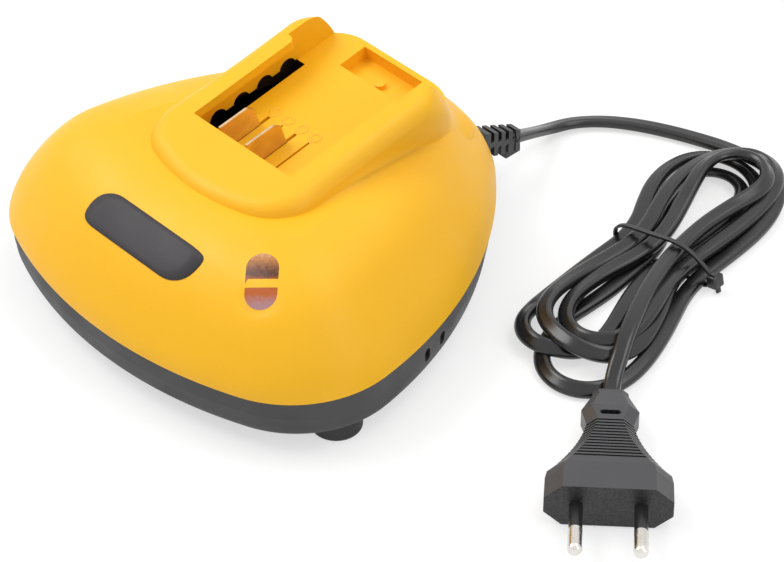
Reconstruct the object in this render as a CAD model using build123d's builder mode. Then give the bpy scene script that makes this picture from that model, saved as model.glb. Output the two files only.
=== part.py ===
from build123d import *
import math
import os

# Mains charger for a slide-on tool battery: a pick-shaped clamshell housing with a raised,
# tilted dock. Millimetres, +Z up, floor at Z = 0, +Y towards the rear (the cord's end),
# origin under the middle of the housing's plan.

os.makedirs("parts", exist_ok=True)

# ---- driving dimensions -------------------------------------------------------------------

# plan outline of the housing at its seam, from tangent arcs
FRONT_Y = -71.2  # foremost point of the front arc
FRONT_R = 134.2  # long arc across the front
FLANK_R = 132.9  # flanks
FLANK_X = 61.6  # centre of a flank's arc, across the axis from it
FLANK_Y = -39.6

# levels
FOOT_H = 6.5  # underside of the lower housing
SEAM_Z = 19.5  # joint line of the two housings
WALL = 2.5

# sections of the upper housing's dome: height, front inset, flank inset, corner radius, nose
# radius and how far the flanks' arcs move forwards, so that they tuck in towards the rear
DOME = [
    (SEAM_Z, 0, 0, 34, 37, 0),
    (25.5, 1.8, 2.2, 32, 35.5, 0),
    (31.5, 5.5, 5.4, 28, 32, 1.0),
    (37.5, 10, 9.4, 24, 27.5, 2.2),
    (42.5, 15, 13.6, 20, 23, 3.0),
    (46, 20, 17.8, 17, 18, 4.6),
    (48.5, 26, 23.8, 14, 14, 6.0),
    (50, 33, 31, 11, 10, 6.5),
]
DOME_HOLLOW = [
    (SEAM_Z, 2.5, 2.5, 31.5, 34.5, 0),
    (25.5, 4.5, 4.9, 29.3, 33, 0.2),
    (31, 8.4, 8.6, 25.3, 29, 1.0),
    (36.3, 12.8, 12.4, 21.5, 25, 2.2),
    (40.7, 17.5, 16.6, 18, 21, 3.0),
    (43.8, 22.4, 20.8, 15, 16, 4.6),
    (46, 28.5, 26.7, 12, 12, 6.0),
    (47.4, 34.5, 32.6, 10, 9, 6.5),
]
# sections of the lower housing, in the same order
BASE = [
    (FOOT_H, 3.4, 1.5, 31.4, 33.6, 3.6),
    (FOOT_H + 0.9, 2.3, 0.9, 32.1, 34.7, 2.6),
    (FOOT_H + 3, 1.6, 0.7, 32.8, 35.4, 1.7),
    (FOOT_H + 7, 1.0, 0.6, 33.2, 36, 0.8),
    (SEAM_Z, 0.5, 0.5, 33.5, 36.5, 0),
]
BASE_HOLLOW = [
    (FOOT_H + WALL, 5.2, 3.6, 29, 32, 1.8),
    (FOOT_H + 5, 4.0, 3.2, 30, 33, 1.2),
    (SEAM_Z, 3.0, 3.0, 31, 34, 0),
]
SEAM_GROOVE_H = 0.6
SEAM_GROOVE_INSET = 1.0
TONGUE_H = 1.4
TONGUE_INSET = 1.5

# dock: a slide plane that rises towards the rear
DOCK_Y = -16.0  # front end of the channel, on the rim
DOCK_Z = 55.35
DOCK_TILT = 9.7  # degrees
DECK_DROP = 11.3  # rim to deck, square to the rim
DECK_T = 2.5
CHANNEL_HALF = 23.8  # between the walls
LIP_HALF = 20.6  # between the lips
LIP_T = 3.0
LIP_END = 40.0  # along the slide
LIP_END_R = 2.4
SLOT_END = 41.6  # openings in the deck under the lips
WALL_END = 57.5  # where the rounded wall ends meet the deck
WALL_END_R = 11.2
POCKET_FROM = 47.9  # latch pocket, along the slide
POCKET_TO = 58.1
POCKET_HALF = 12.2
POCKET_DEPTH = 4.5
POCKET_PIP = (0.0, 52.0)  # ejector pip in the pocket's floor
PIP_R = 1.6
PIP_H = 1.4
CHANNEL_WALL = 1.8  # inner wall of the channel
# the inner walls stop just above the deck's openings, with arches in their lower edge
WALL_GAP = 0.5
ARCH_FROM = 10.0  # first arch, along the slide
ARCH_PITCH = 9.2
ARCH_COUNT = 4
ARCH_R = 3.2
ARCH_DROP = 0.4  # centre below the deck
REACH = 95.0  # tools for the cuts go past the housing
TOOL_H = 25.0

# raised block round the dock
BLOCK_HALF = 29.2
BLOCK_FRONT_Y = -33.2
BLOCK_FRONT_R = 60.0
BLOCK_CORNER_R = 16.0
BLOCK_REAR_Y = 44.8  # where the rear slope leaves the deck
BLOCK_REAR_Z = 54.5
REAR_SLOPE = 0.78  # run to the rear per mm down
RIM_FILLET = 5.0
# block and its flare into the dome: height, growth, pinch of the rear end, rear corner radius
BLOCK = [
    (31, 9.6, 17, 21),
    (37, 8.0, 14.5, 22),
    (42, 5.8, 12, 22.5),
    (45, 4.2, 9, 20.5),
    (48, 2.7, 5.6, 18.5),
    (51, 1.4, 2.8, 16.5),
    (55, 0.5, 0.8, 14.5),
    (61, 0, 0, 13.5),
    (68, 0, 0, 13.5),
]

BLOCK_ROOM = [(38, 0, 11, 18), (46, 0, 6.5, 16.5), (55, 0, 1.2, 14), (66, 0, 0.4, 13)]

# contacts
CONTACT_PITCH = 5.7
CONTACT_MIDDLE_X = -3.75
CONTACT_COUNT = 4
BLADE_AT = {"positive": 0, "negative": 2}  # counted from the left wall
BLADE_T = 0.8
# blade, along the slide and square to it, from the rim
BLADE = [(2, -16), (2, -2.2), (12.6, -2.4), (14.9, -4.3), (15.9, -11.3), (15.9, -16)]
BLADE_TAIL = [(12, -16), (12, -20.8), (6, -20.8), (6, -16)]
HOLDER_DEPTH = 6.0
CONTACT_SLOT_W = 1.1
SPARE_SLOT_W = 0.7
CONTACT_SLOT_END = 19.8

# indicator window
LENS_AT = (37.9, -42.1, 41.5)
LENS_W = 9.2
LENS_L = 16.6
LENS_TILT = 38.0
LENS_DIR = -46.6  # direction, in plan, that the window slopes down to
LENS_BAR = 2.5  # bar of the housing across the window
LENS_BAR_Z = 4.4  # its underside, above the window's plane
LENS_BAR_SHIFT = 0.7  # downhill from the window's middle

# feet, each over a housing screw
FEET = {
    "front_left": (-59.8, -35.4),
    "front_right": (59.8, -35.4),
    "rear_left": (-24.0, 47.0),
    "rear_right": (24.0, 47.0),
}
FOOT_R = 7.5
FOOT_STEM_R = 3.3  # plugs the screw's counterbore
FOOT_STEM_H = 3.0
SCREW_HEAD_R = 2.9
SCREW_HEAD_H = 2.0
SCREW_R = 1.25
SCREW_CLEAR_R = 1.6
SCREW_SEAT_Z = 14.5
SCREW_TIP_Z = 26.0
BOSS_R = 5.0
POST_R = 3.6

# vents
FLANK_VENT_YS = (-6.0, 2.2)
FLANK_VENT_W = 2.6
FLANK_VENT_Z = (10.0, 14.5)
BASE_VENT_W = 2.2
BASE_VENT_L = 20.0
BASE_VENT_PITCH = 5.0
BASE_VENT_COUNT = 7

# circuit board and what it carries
BOARD_Z = 13.0
BOARD_T = 1.6
BOARD_TOP = BOARD_Z + BOARD_T
BOARD_HALF = 45.0
BOARD_FROM_Y = -54.0
BOARD_TO_Y = 24.0
BOARD_CORNER = 8.0
BOARD_SCREWS = {
    "front_left": (-40.0, -47.0),
    "front_right": (24.0, -49.0),
    "rear_left": (-40.0, 12.0),
    "rear_right": (40.0, 12.0),
}
STANDOFF_R = 3.0
BOARD_SCREW_R = 1.1
BOARD_HEAD_R = 2.2
BOARD_HEAD_H = 1.3
CORE_AT = (12.0, -33.0)
CORE = (27.0, 10.0, 22.0)
CORE_WINDOW = (19.0, 14.0)
WINDING_L = 19.0
CAPACITORS = {
    "bulk": (-20.0, -34.0, 8.0, 21.0),
    "output": (-33.5, -13.0, 5.0, 15.0),
    "filter": (-33.5, 0.5, 4.0, 12.0),
}
FUSE_AT = (35.0, -12.0)
FUSE_R = 2.6
FUSE_L = 20.0
FUSE_Z = BOARD_TOP + 3.8
RECTIFIER_AT = (22.0, -6.0)
SINK_AT = (4.0, 14.0)
SINK_W = 26.0
SINK_H = 17.0
SINK_FINS = 7
LED_R = 2.5
LED_RIM_R = 2.9
LED_SHIFT = 3.9  # along the window, either side of its middle
LED_SEATS = {"green": (-1, 30.6), "red": (1, 25.0)}
LED_L = 8.0

# strain relief, mains cord, plug
BOOT_ROOT = (13.0, 66.3, 20.6)
BOOT_END = (11.8, 83.2, 13.0)
BOOT_NECK = (4.6, 7.4)
BOOT_SIZES = [(5.8, 8.8), (4.0, 8.0)]  # width and height at the root and at the end
BOOT_FLANGE = (9.0, 10.4, 4.4)
BOOT_PITCH = 3.55
BOOT_GAP = 1.6
BOOT_GAPS = 4
BOOT_SPINE = 2.0  # band that joins the ribs at mid height
CORD_D = 4.0
CORD_Z = CORD_D / 2 + 0.05
CORD_ROUTE = [
    (12.1, 80.6, 14.2),
    (10.6, 87.4, 11.1),
    (8.2, 95.6, 6.6),
    (6.6, 103.6, 2.9),
    (8.4, 111.8, CORD_Z),
    (14.6, 119.4, CORD_Z),
    (23.4, 125.8, CORD_Z),
    (33.4, 130.8, CORD_Z),
    (43.6, 134.8, CORD_Z),
    (51.6, 137.2, CORD_Z),
    (57.2, 138.2, CORD_Z),
]
# hank of cord: circles whose hulls outline its two loops
HANK_H = 8.0
HANK_UPPER = [(61, 121, 18.5), (62.5, 132, 9.2), (57, 137, 3.4), (76, 104, 12), (73, 83, 15.8)]
HANK_UPPER_HOLE = [(69.5, 96.5, 3.0), (68.5, 103, 3.6)]
HANK_LOWER = [(88, 38, 18), (80, 44, 18), (106, 27, 3.6), (73, 83, 15.8)]
HANK_LOWER_HOLE = [(82, 49, 6), (79.5, 63, 3.6)]
TIE_AT = (73.0, 83.0)
TIE_HALF = 15.9
TIE_T = 1.1
TIE_W = 3.8
TIE_HEAD = (4.6, 5.0, 4.4)
TIE_HEAD_Y = 84.6
TIE_HEAD_Z = 2.2
PLUG_FACE = (140.6, -10.1, 7.3)
PLUG_DIR = -46.9  # direction, in plan, that the pins point
PLUG_PITCH = 2.2  # the cord's end lies lower than the face
# plug: distance behind the face, half width, half height, half height of the side flat
PLUG_HEAD = [(0, 17.6, 6.8, 2.5), (8, 17.5, 6.8, 2.5), (10.8, 17.0, 6.8, 2.6)]
PLUG_GRIP = [
    (10.8, 17.0, 6.8, 2.6),
    (14.5, 14.0, 6.5, 2.6),
    (19, 11.2, 6.1, 2.6),
    (24, 8.8, 5.6, 2.5),
    (29, 7.2, 5.2, 2.4),
    (32, 6.6, 5.0, 2.4),
]
PLUG_FLANGE = [(32, 6.6, 5.0, 2.4), (37.2, 8.1, 5.3, 2.8), (43.8, 5.3, 4.6, 2.4)]
PLUG_END = [(43.8, 5.3, 3.7, 2.0), (46.2, 5.0, 3.5, 2.0)]
GROOVE_FROM = 13.6
GROOVE_PITCH = 1.42
GROOVE_W = 0.65
GROOVE_DEEP = 0.7
GROOVE_COUNT = 13
PLUG_HOLE_AT = 34.4  # slot in the flange's top, behind the face
PLUG_HOLE = (5.8, 1.7)
PLUG_HOLE_Z = 7.6  # its floor
PIN_GAP = 17.6
PIN_R = 2.0
PIN_L = 19.0
SLEEVE_R = 1.9
SLEEVE_L = 10.0
PIN_CORE_R = 1.5

# ---- helpers ------------------------------------------------------------------------------


def unit(x, y):
    length = math.hypot(x, y)
    return x / length, y / length


def flip(v):
    return -v[0], v[1]


def meet(a, a_r, b, b_r):
    """The crossing point of two circles that lies furthest along +X."""
    dx, dy = b[0] - a[0], b[1] - a[1]
    gap = math.hypot(dx, dy)
    along = (a_r**2 - b_r**2 + gap**2) / (2 * gap)
    aside = math.sqrt(a_r**2 - along**2)
    ux, uy = dx / gap, dy / gap
    first = (a[0] + ux * along - uy * aside, a[1] + uy * along + ux * aside)
    second = (a[0] + ux * along + uy * aside, a[1] + uy * along - ux * aside)
    return max(first, second)


def arc(centre, radius, start, end):
    """Arc about centre from direction start round to direction end, counter-clockwise."""
    a = math.degrees(math.atan2(start[1], start[0]))
    b = math.degrees(math.atan2(end[1], end[0]))
    return CenterArc(centre, radius, a, (b - a) % 360)


def housing_section(z, front_inset, flank_inset, corner_r, nose_r, forward=0):
    """The housing's plan at height z: front arc, corners, flanks and nose, all tangent."""
    front_r = FRONT_R - front_inset
    flank_r = FLANK_R - flank_inset
    front_c = (0, FRONT_Y + FRONT_R)
    flank_c = (-FLANK_X, FLANK_Y - forward)
    corner_c = meet(front_c, front_r - corner_r, flank_c, flank_r - corner_r)
    nose_y = flank_c[1] + math.sqrt((flank_r - nose_r) ** 2 - FLANK_X**2)
    to_front = unit(corner_c[0] - front_c[0], corner_c[1] - front_c[1])
    to_flank = unit(corner_c[0] - flank_c[0], corner_c[1] - flank_c[1])
    to_nose = unit(FLANK_X, nose_y - flank_c[1])
    with BuildSketch(Plane.XY.offset(z)) as section:
        with BuildLine():
            arc(front_c, front_r, flip(to_front), to_front)
            arc(corner_c, corner_r, to_front, to_flank)
            arc(flank_c, flank_r, to_flank, to_nose)
            arc((0, nose_y), nose_r, to_nose, flip(to_nose))
            arc(flip(flank_c), flank_r, flip(to_nose), flip(to_flank))
            arc(flip(corner_c), corner_r, flip(to_flank), flip(to_front))
        make_face()
    return section.sketch


def block_section(z, grow, pinch, rear_r, inset=0):
    """The raised block's plan at height z: bowed front, rounded corners, sloping rear."""
    half = BLOCK_HALF + grow - inset
    front = BLOCK_FRONT_Y - grow + inset
    rear = BLOCK_REAR_Y + (BLOCK_REAR_Z - z) * REAR_SLOPE - inset * math.hypot(1, REAR_SLOPE)
    side = front + BLOCK_FRONT_R - math.sqrt(BLOCK_FRONT_R**2 - half**2)
    with BuildSketch(Plane.XY.offset(z)) as section:
        with BuildLine():
            ThreePointArc((-half, side), (0, front), (half, side))
            Polyline((half, side), (half - pinch, rear), (pinch - half, rear), (-half, side))
        make_face()
        fillet(section.vertices().group_by(Axis.Y)[0], BLOCK_CORNER_R)
        fillet(section.vertices().group_by(Axis.Y)[-1], rear_r)
    return section.sketch


def plug_section(s, half_w, half_h, flat):
    """The plug's outline at distance s behind its face: a flattened hexagon."""
    with BuildSketch(PLUG.offset(s)) as section:
        bevel = half_w - (half_h - flat) * 1.15
        right = [(half_w, -flat), (half_w, flat), (bevel, half_h)]
        left = [(-x, -y) for x, y in right]
        with BuildLine():
            Polyline((bevel, -half_h), *right, (-bevel, half_h), *left, close=True)
        make_face()
    return section.sketch


def hull_of(circles, z):
    """The outline round a row of circles, given as x, y and radius."""
    with BuildSketch(Plane.XY.offset(z)) as section:
        for x, y, r in circles:
            with Locations((x, y)):
                Circle(r)
        make_hull()
    return section.sketch


def wire(points, radius, bend):
    """A round wire along straight runs joined by arcs."""
    with BuildLine() as path:
        FilletPolyline(*points, radius=bend)
    with BuildSketch(Plane(origin=path.line @ 0, z_dir=path.line % 0)) as section:
        Circle(radius)
    sweep(section.sketch, path=path.line)


def post(radius, x, y, z0, z1, mode=Mode.ADD):
    """A round post or hole between two heights."""
    with BuildSketch(Plane.XY.offset(z0)) as section:
        with Locations((x, y)):
            Circle(radius)
    extrude(section.sketch, amount=z1 - z0, mode=mode)


def keep_largest(builder):
    """Drop the crumbs that a cut leaves beside the piece."""
    builder.part = Part() + builder.solids().sort_by(SortBy.VOLUME)[-1]


def save(builder, name):
    builder.part.label = name
    export_step(builder.part, f"parts/{name}.step")


DOCK = Plane(
    origin=(0, DOCK_Y, DOCK_Z),
    x_dir=(1, 0, 0),
    z_dir=(0, -math.sin(math.radians(DOCK_TILT)), math.cos(math.radians(DOCK_TILT))),
)
DECK = DOCK.offset(-DECK_DROP)
UNDER_DECK = DOCK.offset(-DECK_DROP - DECK_T)
ALONG = Plane(DOCK.origin, x_dir=DOCK.y_dir, z_dir=(1, 0, 0))  # slide and depth, seen from +X
CONTACT_XS = [
    CONTACT_MIDDLE_X + (i - (CONTACT_COUNT - 1) / 2) * CONTACT_PITCH for i in range(CONTACT_COUNT)
]

CONTACT_SLOTS = [
    CONTACT_SLOT_W if i in BLADE_AT.values() else SPARE_SLOT_W for i in range(CONTACT_COUNT)
]

# ---- tools for the cuts -------------------------------------------------------------------

with BuildPart() as dome:
    loft([housing_section(*level) for level in DOME])

with BuildPart() as block:
    loft([block_section(*level) for level in BLOCK])
    split(bisect_by=DOCK, keep=Keep.BOTTOM)
    rim = block.faces().filter_by(lambda f: abs(f.normal_at().dot(DOCK.z_dir)) > 0.999)
    fillet(rim.sort_by(Axis.Z)[-1].edges(), RIM_FILLET)

# everything above the deck and the openings through it
with BuildPart() as dock_cut:
    with BuildSketch(DOCK.offset(TOOL_H)) as mouth:
        with Locations((0, REACH / 2)):
            Rectangle(2 * LIP_HALF, REACH)
        with Locations((0, (LIP_END + REACH) / 2)):
            Rectangle(2 * CHANNEL_HALF, REACH - LIP_END)
        inner = mouth.vertices().filter_by(lambda v: abs(abs(v.X) - LIP_HALF) < 0.01)
        fillet(inner.group_by(Axis.Y)[-1], LIP_END_R)
    extrude(amount=-TOOL_H - LIP_T)
    with BuildSketch(DOCK.offset(-LIP_T)):
        with Locations((0, REACH / 2)):
            Rectangle(2 * CHANNEL_HALF, REACH)
    extrude(amount=LIP_T - DECK_DROP)
    # the walls run out in a quarter round down to the deck
    with BuildSketch(ALONG):
        with BuildLine():
            RadiusArc((WALL_END - WALL_END_R, 0), (WALL_END, -WALL_END_R), WALL_END_R)
            Line((WALL_END, -WALL_END_R), (WALL_END, -DECK_DROP))
            Line((WALL_END, -DECK_DROP), (REACH, -DECK_DROP))
            Line((REACH, -DECK_DROP), (REACH, TOOL_H))
            Line((REACH, TOOL_H), (WALL_END - WALL_END_R, TOOL_H))
            Line((WALL_END - WALL_END_R, TOOL_H), (WALL_END - WALL_END_R, 0))
        make_face()
    extrude(amount=BLOCK_HALF + 10, both=True)
    # latch pocket
    with BuildSketch(DECK):
        with Locations((0, (POCKET_FROM + POCKET_TO) / 2)):
            Rectangle(2 * POCKET_HALF, POCKET_TO - POCKET_FROM)
    extrude(amount=-POCKET_DEPTH)
    # openings below the lips and slots for the contact blades
    with BuildSketch(DECK):
        for side in (-1, 1):
            with Locations((side * (LIP_HALF + CHANNEL_HALF) / 2, SLOT_END / 2)):
                Rectangle(CHANNEL_HALF - LIP_HALF, SLOT_END)
        for x, width in zip(CONTACT_XS, CONTACT_SLOTS):
            with Locations((x, CONTACT_SLOT_END / 2)):
                Rectangle(width, CONTACT_SLOT_END)
    extrude(amount=-DECK_T - 6)
    # gap and arches at the foot of the channel's inner walls
    with BuildSketch(ALONG):
        for i in range(ARCH_COUNT):
            with Locations((ARCH_FROM + i * ARCH_PITCH, -ARCH_DROP - DECK_DROP)):
                Circle(ARCH_R)
        with Locations((SLOT_END / 2, WALL_GAP - DECK_DROP - 3)):
            Rectangle(SLOT_END, 6)
    extrude(amount=CHANNEL_HALF + CHANNEL_WALL + 0.2, both=True)
    with BuildSketch(UNDER_DECK):
        with Locations((0, REACH / 2)):
            Rectangle(2 * LIP_HALF, REACH)
    extrude(amount=DECK_T, mode=Mode.SUBTRACT)
    with BuildSketch(UNDER_DECK):
        for x, width in zip(CONTACT_XS, CONTACT_SLOTS):
            with Locations((x, CONTACT_SLOT_END / 2)):
                Rectangle(width, CONTACT_SLOT_END)
    extrude(amount=DECK_T)
    with BuildSketch(DECK.offset(-POCKET_DEPTH)):
        with Locations((0, (POCKET_FROM + POCKET_TO) / 2)):
            Rectangle(2 * POCKET_HALF, POCKET_TO - POCKET_FROM)
    extrude(amount=POCKET_DEPTH)

# what stays solid round the dock when the housing is hollowed
with BuildPart() as dock_solid:
    with BuildSketch(UNDER_DECK):
        with Locations((0, (REACH - WALL) / 2)):
            Rectangle(2 * (CHANNEL_HALF + CHANNEL_WALL), REACH + WALL)
    extrude(amount=TOOL_H)
    with BuildSketch(UNDER_DECK.offset(-POCKET_DEPTH)):
        with Locations((0, (POCKET_FROM + POCKET_TO) / 2)):
            Rectangle(2 * (POCKET_HALF + WALL), POCKET_TO - POCKET_FROM + 2 * WALL)
    extrude(amount=POCKET_DEPTH)

with BuildPart() as block_room:
    loft([block_section(*level, WALL) for level in BLOCK_ROOM])
    split(bisect_by=DOCK.offset(-WALL - 1), keep=Keep.BOTTOM)

with BuildPart() as room:
    loft([housing_section(*level) for level in DOME_HOLLOW])
    add(block_room.part)
    add(dock_solid.part, mode=Mode.SUBTRACT)
    for x, y in FEET.values():
        post(POST_R, x, y, SEAM_Z, 60, mode=Mode.SUBTRACT)

LENS = Plane(
    origin=LENS_AT,
    x_dir=(-math.sin(math.radians(LENS_DIR)), math.cos(math.radians(LENS_DIR)), 0),
    z_dir=(
        math.sin(math.radians(LENS_TILT)) * math.cos(math.radians(LENS_DIR)),
        math.sin(math.radians(LENS_TILT)) * math.sin(math.radians(LENS_DIR)),
        math.cos(math.radians(LENS_TILT)),
    ),
)
with BuildPart() as lens_prism:
    with BuildSketch(LENS.offset(-12)):
        SlotOverall(LENS_L, LENS_W, rotation=90)
    extrude(amount=24)

with BuildPart() as lens_bar:
    with BuildSketch(LENS.offset(LENS_BAR_Z)):
        with Locations((0, -LENS_BAR_SHIFT)):
            Rectangle(LENS_W + 2, LENS_BAR)
    extrude(amount=12)
    add(dome.part, mode=Mode.INTERSECT)

with BuildPart() as boot_neck:
    with BuildSketch(Plane.XZ.offset(-BOOT_ROOT[1] - 6)):
        with Locations((BOOT_ROOT[0], BOOT_ROOT[2])):
            Rectangle(*BOOT_NECK)
    extrude(amount=14)

# ---- housings -----------------------------------------------------------------------------

with BuildPart() as upper_housing:
    add(dome.part)
    add(block.part)
    add(dock_cut.part, mode=Mode.SUBTRACT)
    add(room.part, mode=Mode.SUBTRACT)
    # rebate for the lower housing's tongue
    edge = housing_section(SEAM_Z, TONGUE_INSET, TONGUE_INSET, 32.5, 35.5)
    extrude(edge, amount=TONGUE_H, mode=Mode.SUBTRACT)
    for x, y in FEET.values():
        post(POST_R, x, y, SEAM_Z, SEAM_Z + TONGUE_H + 0.2)
        post(SCREW_R, x, y, SEAM_Z, SCREW_TIP_Z + 1, mode=Mode.SUBTRACT)
    add(lens_prism.part, mode=Mode.SUBTRACT)
    add(lens_bar.part)
    add(boot_neck.part, mode=Mode.SUBTRACT)
    # ejector pip in the latch pocket
    with BuildSketch(DECK.offset(-POCKET_DEPTH)):
        with Locations(POCKET_PIP):
            Circle(PIP_R)
    extrude(amount=PIP_H)
keep_largest(upper_housing)
save(upper_housing, "upper_housing")

with BuildPart() as lower_housing:
    loft([housing_section(*level) for level in BASE])
    loft([housing_section(*level) for level in BASE_HOLLOW], mode=Mode.SUBTRACT)
    # tongue inside the seam
    outer = housing_section(SEAM_Z, TONGUE_INSET, TONGUE_INSET, 32.5, 35.5)
    extrude(outer, amount=TONGUE_H)
    inner = housing_section(SEAM_Z, 3.0, 3.0, 31, 34)
    extrude(inner, amount=TONGUE_H, mode=Mode.SUBTRACT)
    # shadow groove round the seam
    with BuildSketch(Plane.XY.offset(SEAM_Z - SEAM_GROOVE_H)) as ring:
        add(housing_section(SEAM_Z - SEAM_GROOVE_H, -2, -2, 36, 39))
        inset = SEAM_GROOVE_INSET
        add(housing_section(SEAM_Z - SEAM_GROOVE_H, inset, inset, 33, 36), mode=Mode.SUBTRACT)
    extrude(ring.sketch, amount=SEAM_GROOVE_H, mode=Mode.SUBTRACT)
    for x, y in FEET.values():
        post(BOSS_R, x, y, FOOT_H + 1, SEAM_Z)
    for x, y in BOARD_SCREWS.values():
        post(STANDOFF_R, x, y, FOOT_H + 1, BOARD_Z)
    for x, y in FEET.values():
        post(FOOT_STEM_R, x, y, FOOT_H, SCREW_SEAT_Z, mode=Mode.SUBTRACT)
        post(SCREW_CLEAR_R, x, y, SCREW_SEAT_Z, SEAM_Z, mode=Mode.SUBTRACT)
    for x, y in BOARD_SCREWS.values():
        post(BOARD_SCREW_R, x, y, FOOT_H + 2, BOARD_Z, mode=Mode.SUBTRACT)
    # vents in the flanks and in the underside
    with BuildSketch(Plane.YZ):
        for y in FLANK_VENT_YS:
            with Locations((y, sum(FLANK_VENT_Z) / 2)):
                SlotOverall(FLANK_VENT_Z[1] - FLANK_VENT_Z[0], FLANK_VENT_W, rotation=90)
    extrude(amount=90, both=True, mode=Mode.SUBTRACT)
    with BuildSketch(Plane.XY.offset(FOOT_H - 1)):
        with GridLocations(BASE_VENT_PITCH, 1, BASE_VENT_COUNT, 1):
            SlotOverall(BASE_VENT_L, BASE_VENT_W, rotation=90)
    extrude(amount=WALL + 2, mode=Mode.SUBTRACT)
    add(boot_neck.part, mode=Mode.SUBTRACT)
save(lower_housing, "lower_housing")

# ---- feet and screws ----------------------------------------------------------------------

for where, (x, y) in FEET.items():
    with BuildPart() as foot:
        post(FOOT_R, x, y, 0, FOOT_H)
        fillet(foot.edges().group_by(Axis.Z)[0], 1.2)
        post(FOOT_STEM_R, x, y, FOOT_H, FOOT_H + FOOT_STEM_H)
    save(foot, f"foot_{where}")
    with BuildPart() as screw:
        post(SCREW_HEAD_R, x, y, SCREW_SEAT_Z - SCREW_HEAD_H, SCREW_SEAT_Z)
        fillet(screw.edges().group_by(Axis.Z)[0], 0.8)
        post(SCREW_R, x, y, SCREW_SEAT_Z, SCREW_TIP_Z)
        with BuildSketch(Plane.XY.offset(SCREW_SEAT_Z - SCREW_HEAD_H)):
            with Locations((x, y)):
                Rectangle(3.4, 0.9)
                Rectangle(0.9, 3.4)
        extrude(amount=1.1, mode=Mode.SUBTRACT)
    save(screw, f"housing_screw_{where}")

# ---- contacts -----------------------------------------------------------------------------

with BuildPart() as contact_holder:
    with BuildSketch(UNDER_DECK):
        with Locations((CONTACT_MIDDLE_X, CONTACT_SLOT_END / 2)):
            RectangleRounded((CONTACT_COUNT - 1) * CONTACT_PITCH + 6, CONTACT_SLOT_END - 1, 1.5)
    extrude(amount=-HOLDER_DEPTH)
    for place in BLADE_AT.values():
        with BuildSketch(ALONG.offset(CONTACT_XS[place] - BLADE_T / 2)):
            with BuildLine():
                Polyline(*BLADE, *BLADE_TAIL, close=True)
            make_face()
        extrude(amount=BLADE_T, mode=Mode.SUBTRACT)
save(contact_holder, "contact_holder")

for pole, place in BLADE_AT.items():
    with BuildPart() as blade:
        with BuildSketch(ALONG.offset(CONTACT_XS[place] - BLADE_T / 2)):
            with BuildLine():
                Polyline(*BLADE, *BLADE_TAIL, close=True)
            make_face()
        extrude(amount=BLADE_T)
    save(blade, f"contact_blade_{pole}")
    tail = ALONG.offset(CONTACT_XS[place]).from_local_coords((9, BLADE_TAIL[1][1], 0))
    turn = tail - 5 * DOCK.z_dir
    with BuildPart() as lead:
        wire([tail, turn, Vector(turn.X, turn.Y, BOARD_TOP)], 0.9, 6)
    save(lead, f"contact_lead_{pole}")

# ---- circuit board ------------------------------------------------------------------------

with BuildPart() as circuit_board:
    with BuildSketch(Plane.XY.offset(BOARD_Z)) as outline:
        with Locations((0, (BOARD_FROM_Y + BOARD_TO_Y) / 2)):
            Rectangle(2 * BOARD_HALF, BOARD_TO_Y - BOARD_FROM_Y)
        chamfer(outline.vertices(), BOARD_CORNER)
    extrude(amount=BOARD_T)
    for x, y in BOARD_SCREWS.values():
        post(BOARD_SCREW_R, x, y, BOARD_Z, BOARD_TOP, mode=Mode.SUBTRACT)
save(circuit_board, "circuit_board")

for where, (x, y) in BOARD_SCREWS.items():
    with BuildPart() as screw:
        post(BOARD_HEAD_R, x, y, BOARD_TOP, BOARD_TOP + BOARD_HEAD_H)
        fillet(screw.edges().group_by(Axis.Z)[-1], 0.5)
        post(BOARD_SCREW_R, x, y, FOOT_H + 3, BOARD_TOP)
    save(screw, f"board_screw_{where}")

with BuildPart() as transformer_core:
    with Locations((*CORE_AT, BOARD_TOP)):
        Box(*CORE, align=(Align.CENTER, Align.CENTER, Align.MIN))
    with Locations((*CORE_AT, BOARD_TOP + (CORE[2] - CORE_WINDOW[1]) / 2)):
        window = (CORE_WINDOW[0], CORE[1], CORE_WINDOW[1])
        Box(*window, align=(Align.CENTER, Align.CENTER, Align.MIN), mode=Mode.SUBTRACT)
save(transformer_core, "transformer_core")

with BuildPart() as transformer_winding:
    with BuildSketch(Plane.XY.offset(BOARD_TOP + (CORE[2] - CORE_WINDOW[1]) / 2)) as winding:
        with Locations(CORE_AT):
            RectangleRounded(CORE_WINDOW[0], WINDING_L, 4)
    extrude(amount=CORE_WINDOW[1])
save(transformer_winding, "transformer_winding")

for use, (x, y, r, h) in CAPACITORS.items():
    with BuildPart() as capacitor:
        post(r, x, y, BOARD_TOP, BOARD_TOP + h)
        fillet(capacitor.edges().group_by(Axis.Z)[-1], 0.7)
    save(capacitor, f"capacitor_{use}")

with BuildPart() as fuse:
    with BuildSketch(Plane.XZ.offset(-FUSE_AT[1] - FUSE_L / 2)):
        with Locations((FUSE_AT[0], FUSE_Z)):
            Circle(FUSE_R)
    extrude(amount=FUSE_L)
save(fuse, "fuse")

for end, side in (("front", -1), ("rear", 1)):
    with BuildPart() as clip:
        with Locations((FUSE_AT[0], FUSE_AT[1] + side * (FUSE_L / 2 - 2.5), BOARD_TOP)):
            Box(6.8, 4, 5.2, align=(Align.CENTER, Align.CENTER, Align.MIN))
        add(fuse.part, mode=Mode.SUBTRACT)
    save(clip, f"fuse_clip_{end}")

with BuildPart() as rectifier:
    with BuildSketch(Plane.XZ.offset(-RECTIFIER_AT[1] - 2)) as shape:
        with Locations((RECTIFIER_AT[0], BOARD_TOP + 5.5)):
            Rectangle(15, 11)
        chamfer(shape.vertices().group_by(Axis.X)[-1].sort_by(Axis.Z)[-1:], 2.5)
    extrude(amount=4)
save(rectifier, "rectifier")

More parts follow.
